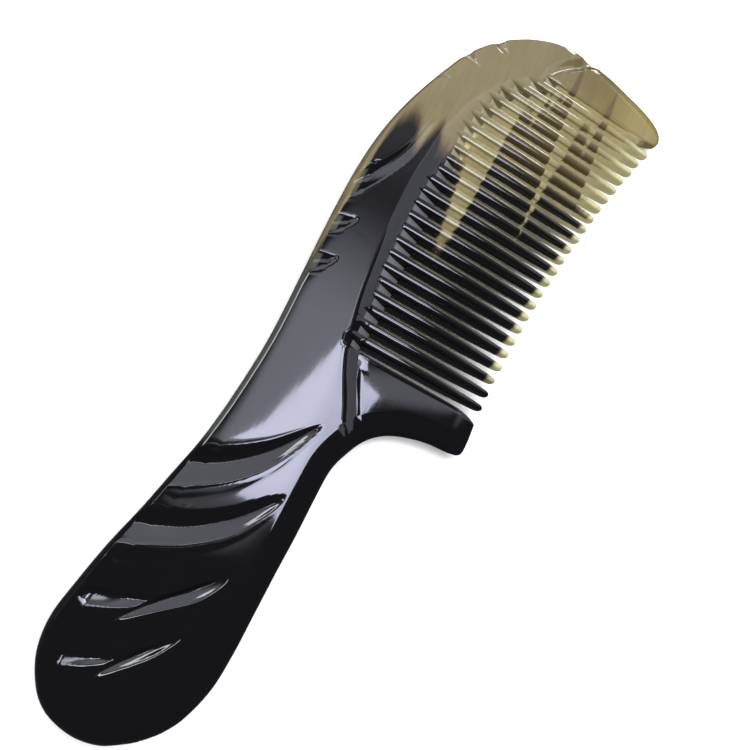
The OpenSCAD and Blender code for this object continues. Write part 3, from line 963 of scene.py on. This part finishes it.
def hornMaterial(middle):
    material, shader = newMaterial("horn")
    tree = material.node_tree
    shader.inputs["IOR"].default_value = horn["ior"]
    start = Link(tree)
    place = start.node("ShaderNodeTexCoord", {}, {}, "Object")
    x, y, z = [part * (1 / mm) for part in place.parts()]
    u, v = onSheet(x, y)
    height = z - halfPlate

    def noise(name):
        along, across, detail, seed = noises[name]
        spot = start.vector(u / along + seed, v / across, height / across)
        inputs = {"Vector": spot, "Scale": 1.0, "Detail": detail}
        return start.node("ShaderNodeTexNoise", {}, inputs) - 0.5

    # Distance from the middle of the nearest tooth, and past its root
    toothX = float(slots[0][0] + pitch / 2 - middle[0])
    beside = (start.math("FRACT", (x - toothX) / pitch + 0.5) - 0.5) * pitch
    fromRoot = v - u.curve(rootPlaces)
    notGuard = 1 - zone(u, "teethEnd")
    overTeeth = zone(u, "teethStart") * notGuard
    besideTeeth = overTeeth * zone(fromRoot, "rootLine")
    overTeeth = overTeeth * zone(fromRoot, "rootBlend")
    grain = noise("grain")
    wander = noise("wander")

    # How far into the pale part a point is, past where the black ends
    across = v + wander * horn["wanderAcross"]
    ends = [(across + aside).curve(blackEnds) for aside in (-horn["soften"], horn["soften"])]
    past = u - (ends[0] + ends[1]) / 2 + grain * horn["grain"] + wander * horn["wander"]
    low = u.curve(blackDepths) + grain * horn["underGrain"]
    under = zone(low - height, "under") * zone(u, "underStart")
    # Painted glow: the teeth's right shoulders are made paler, standing in for light that shines through
    # the thin horn there
    paler = horn["shoulderGlowFirst"] + zone(u, "shoulderGlowGrows") * horn["shoulderGlowMore"]
    shoulderGlow = zone(beside, "shoulderGlow") * overTeeth * paler
    toTip = u.curve(tipPlaces) - v
    atTip = (1 - zone(toTip, "tip")) * zone(u, "tipsStart") * notGuard
    pale = zone(past, "pale").most(under).most(shoulderGlow).most(atTip)
    brownish = zone(past, "brown").most(under).most(shoulderGlow).most(atTip)

    blackHere = zone(u, "blackThins").mix(shade("black"), shade("darkBrown"))
    darkHere = zone(u, "brownThins").mix(blackHere, shade("brown"))
    oliveHere = overTeeth.mix(shade("olive"), shade("toothOlive"))
    guard = zone(u, "guardStart") * zone(v, "guardAcross")
    guardHere = zone(v, "guardYellows").mix(shade("guardBrown"), shade("guardYellow"))
    oliveHere = guard.mix(oliveHere, guardHere)
    # Painted light on the slot walls: a grey painted reflection where the horn is black, and a pale
    # olive that stands in for light reaching the walls through the translucent horn
    thinner = (1 - zone(toTip, "tipThins")) * horn["thinWalls"]
    wall = zone(beside.size() + thinner, "wall") * besideTeeth
    wallPale = zone(past, "wallTurns").most(zone(u, "wallsPale"))
    oliveHere = wall.mix(oliveHere, wallPale.mix(shade("paintedWallReflection"), shade("wall")))
    oliveHere = ((1 - zone(toTip, "tipPales")) * notGuard).mix(oliveHere, shade("tip"))
    cloud = 1 + grain * horn["clouds"] + noise("clouds") * horn["clouds"]
    oliveHere = start.node("ShaderNodeVectorMath", {"operation": "SCALE"},
                           {0: oliveHere, "Scale": cloud})
    color = pale.mix(brownish.mix(darkHere, shade("brown")), oliveHere)

    # Outside the fine crease along the back, the rim is a little paler
    onTop = zone(height, "rimHeight")
    onRim = (1 - onTop) * (1 - zone(v, "rimAcross")) * zone(u, "rimStart") * (1 - pale)
    color = onRim.mix(color, shade("rim"))
    # Painted highlight: a lighter line along the fine crease stands in for the crease's reflection
    creaseHighlight = (v - u.curve(creaseLine(middle), crease["span"])).within(*crease["across"])
    creaseHighlight = creaseHighlight * u.within(*crease["along"]) * onTop * horn["creaseHighlightStrength"]
    color = creaseHighlight.mix(color, shade("creaseHighlight"))

    # The sloping floors of the saw cuts are dull
    inCut = zone(beside.size(), "cutSide") * (1 - zone(height, "cutTop"))
    inCut = inCut * zone(height, "cutFloor") * zone(v, "cutsAcross")
    inCut = inCut * (1 - zone(fromRoot, "cutEnd")) * u.within(*cutReach)
    color = inCut.mix(color, zone(past, "sawnPales").mix(shade("sawn"), shade("sawnPale")))
    feed(tree, shader.inputs["Base Color"], color)

    polish = noise("finePolish") + noise("widePolish")
    rough = (horn["roughness"] + polish * horn["roughnessSpread"]).most(horn["leastRoughness"])
    feed(tree, shader.inputs["Roughness"], rough + (horn["sawnRoughness"] - rough) * inCut)

    waves = noise("longWaves") * horn["longWaves"] + noise("shortWaves") * horn["shortWaves"]
    inputs = {"Strength": 1.0, "Distance": horn["bumpDistance"], "Height": waves}
    feed(tree, shader.inputs["Normal"], start.node("ShaderNodeBump", {}, inputs))
    return material


# Putting the comb together

def setNormals(mesh):
    # Large faces count for more, so flat parts stay flat beside narrow roundings
    count = len(mesh.polygons)
    areas, sizes = np.empty(count), np.empty(count, int)
    normals, corners = np.empty(3 * count), np.empty(len(mesh.loops), int)
    mesh.polygons.foreach_get("area", areas)
    mesh.polygons.foreach_get("normal", normals)
    mesh.polygons.foreach_get("loop_total", sizes)
    mesh.loops.foreach_get("vertex_index", corners)
    weighted = np.repeat(normals.reshape(-1, 3) * areas[:, None], sizes, axis=0)
    total = np.zeros((len(mesh.vertices), 3))
    np.add.at(total, corners, weighted)
    total /= np.maximum(np.linalg.norm(total, axis=1), 1e-15)[:, None]
    mesh.normals_split_custom_set_from_vertices(total)


def closedMesh(points, faces):
    # One mesh with its doubled points merged and its faces turned outwards
    mesh = bpy.data.meshes.new("comb")
    mesh.from_pydata(points * mm, [], faces)
    work = bmesh.new()
    work.from_mesh(mesh)
    bmesh.ops.remove_doubles(work, verts=work.verts, dist=meshPlan["merge"] * mm)
    bmesh.ops.dissolve_degenerate(work, edges=work.edges, dist=meshPlan["degenerate"] * mm)
    bmesh.ops.recalc_face_normals(work, faces=work.faces)
    if work.calc_volume(signed=True) < 0:
        bmesh.ops.reverse_faces(work, faces=work.faces)
    openEdges = sum(len(edge.link_faces) != 2 for edge in work.edges)
    print("edges that are not shared by two faces:", openEdges)
    print("volume in cubic millimetres", round(work.calc_volume() / mm ** 3))
    print("triangles", sum(len(face.verts) - 2 for face in work.faces))
    for face in work.faces:
        face.smooth = True
    work.to_mesh(mesh)
    work.free()
    setNormals(mesh)
    return mesh


def buildComb():
    bodyPoints, bodyFaces = bodyMesh()
    print("body ready", len(bodyPoints), len(bodyFaces))
    middle = (bodyPoints[:, :2].min(0) + bodyPoints[:, :2].max(0)) / 2
    material = hornMaterial(middle)
    print("horn ready", len(material.node_tree.nodes))
    toothPoints, toothFaces = teethMesh(material)
    print("teeth ready", len(toothPoints), len(toothFaces))
    points = np.concatenate((bodyPoints, toothPoints))
    points[:, :2] -= middle
    points[:, 2] += halfPlate
    faces = [tuple(face) for face in bodyFaces.tolist()]
    faces += [tuple(i + len(bodyPoints) for i in face) for face in toothFaces]
    mesh = closedMesh(points, faces)
    mesh.materials.append(material)
    return placed("hornComb", mesh)


# Floor, lights, world and camera

floorLook = {"half": 2.0, "grey": 0.8}

# Soft lamps, in millimetres. Each: its middle, the point it faces, the direction of its width, its
# width and height, radiance, colour, and whether it is seen in reflections.
lamps = {
    "key": ((118.5, -87, 607), (118.5, -87, 0), (0.961, -0.276, 0), (176, 104),
            12, (0.75, 0.77, 1.0), True),
    "fill": ((0, 0, 1500), (0, 0, 0), (1, 0, 0), (2400, 2400), 3.2, (1, 1, 1), False),
    "handleCrests": ((25, 130, 600), (-60, 20, 0), (1, 0, 0), (90, 60), 11, (0.95, 0.97, 1.0), True),
    "rimCrest": ((225, 430, 600), (-10, 20, 0), (1, 0, 0), (330, 60), 10, (0.95, 0.97, 1.0), True),
    "toothSide": ((1180, -240, 610), (20, -60, 0), (0.986, -0.164, 0), (300, 190),
                  12, (0.97, 0.97, 1.0), True),
    "backRim": ((200, 650, 590), (0, 20, 0), (1, 0, 0), (700, 60), 7, (0.95, 0.97, 1.0), True),
}

# Grey cards in the dark room, by how far a ray leans as it goes up: p along x, q against y.
# Each: how much of q is taken from p, then start, end and softness in p and in q, and brightness.
cards = {
    "overBack": (0, (0.15, 0.495, 0.03, 0.115), (0.03, 0.142, 0.015), 3.0),
    "overHandle": (0, (0.08, 0.15, 0.02), (0.01, 0.12, 0.03), 0.8),
    "overSlopes": (0, (0.38, 1.3, 0.15), (-0.75, -0.14, 0.08), 1.8),
    "rimLine": (0, (0.12, 0.45, 0.04), (-0.16, -0.12, 0.012), 7.0),
    "overGuard": (0.37, (0.228, 0.272, 0.01), (0.16, 0.5, 0.04), 1.7),
    "underRidge": (0.37, (0.19, 1.2, 0.02), (0.45, 2.4, 0.06), 1.0),
    "overHead": (0, (0.62, 2.0, 0.1), (-0.3, 0.6, 0.15), 0.5),
    "overTeeth": (0.6, (0.297, 0.372, 0.006), (0.145, 0.24, 0.008), 10.0),
}
room = {"light": 0.06, "tint": (0.92, 0.94, 1.08), "leastRise": 0.02}

camera = {"place": (-63.72, 32.09, 160.87), "lens": 38.976, "sensor": 36.0, "clip": 0.01,
          "right": (0.4069, -0.8623, 0.3014), "up": (0.8527, 0.4769, 0.2132),
          "back": (-0.3276, 0.1703, 0.9293)}


def addFloor():
    half, grey = floorLook["half"], floorLook["grey"]
    corners = [(-half, -half, 0), (half, -half, 0), (half, half, 0), (-half, half, 0)]
    mesh = bpy.data.meshes.new("floor")
    mesh.from_pydata(corners, [], [(0, 1, 2, 3)])
    material, shader = newMaterial("floor")
    shader.inputs["Base Color"].default_value = (grey, grey, grey, 1)
    shader.inputs["Roughness"].default_value = 1.0
    shader.inputs["Specular IOR Level"].default_value = 0.0
    mesh.materials.append(material)
    holder = placed("floor", mesh)
    # The real surroundings were dark, and a white floor would show in the polished black
    holder.visible_glossy = False


def addLamp(name, middle, toward, along, size, radiance, color, glossy):
    data = bpy.data.lights.new(name, "AREA")
    data.shape = "RECTANGLE"
    data.size = size[0] * mm
    data.size_y = size[1] * mm
    data.energy = radiance * math.pi * size[0] * size[1] * mm * mm
    data.color = color
    holder = placed(name, data)
    out = (Vector(middle) - Vector(toward)).normalized()
    across = Vector(along)
    across = (across - out * across.dot(out)).normalized()
    axes = Matrix((across, out.cross(across), out)).transposed()
    holder.matrix_world = Matrix.Translation(Vector(middle) * mm) @ axes.to_4x4()
    holder.visible_glossy = glossy
    holder.visible_camera = False


def addWorld():
    world = bpy.data.worlds.new("world")
    bpy.context.scene.world = world
    world.use_nodes = True
    background = world.node_tree.nodes["Background"]
    start = Link(world.node_tree)
    ray = start.node("ShaderNodeTexCoord", {}, {}, "Generated")
    rx, ry, rz = ray.parts()
    rise = rz.most(room["leastRise"])
    p = rx / rise
    q = -ry / rise
    light = None
    for lean, alongP, alongQ, brightness in cards.values():
        card = (p - q * lean if lean else p).within(*alongP) * q.within(*alongQ) * brightness
        light = light + card if light else card
    light = light + room["light"]
    tinted = start.vector(*[light * share for share in room["tint"]])
    feed(world.node_tree, background.inputs["Color"], tinted)


def addCamera():
    data = bpy.data.cameras.new("camera")
    data.lens = camera["lens"]
    data.sensor_width = camera["sensor"]
    data.clip_start = camera["clip"]
    holder = placed("camera", data)
    axes = Matrix((camera["right"], camera["up"], camera["back"])).transposed()
    holder.matrix_world = Matrix.Translation(Vector(camera["place"]) * mm) @ axes.to_4x4()
    bpy.context.scene.camera = holder


comb = buildComb()
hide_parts("comb")
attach(comb, "root")
addFloor()
for lampName, settings in lamps.items():
    addLamp(lampName, *settings)
addWorld()
addCamera()
bpy.context.scene.view_settings.view_transform = "Standard"
print("floor, lights, world and camera ready")
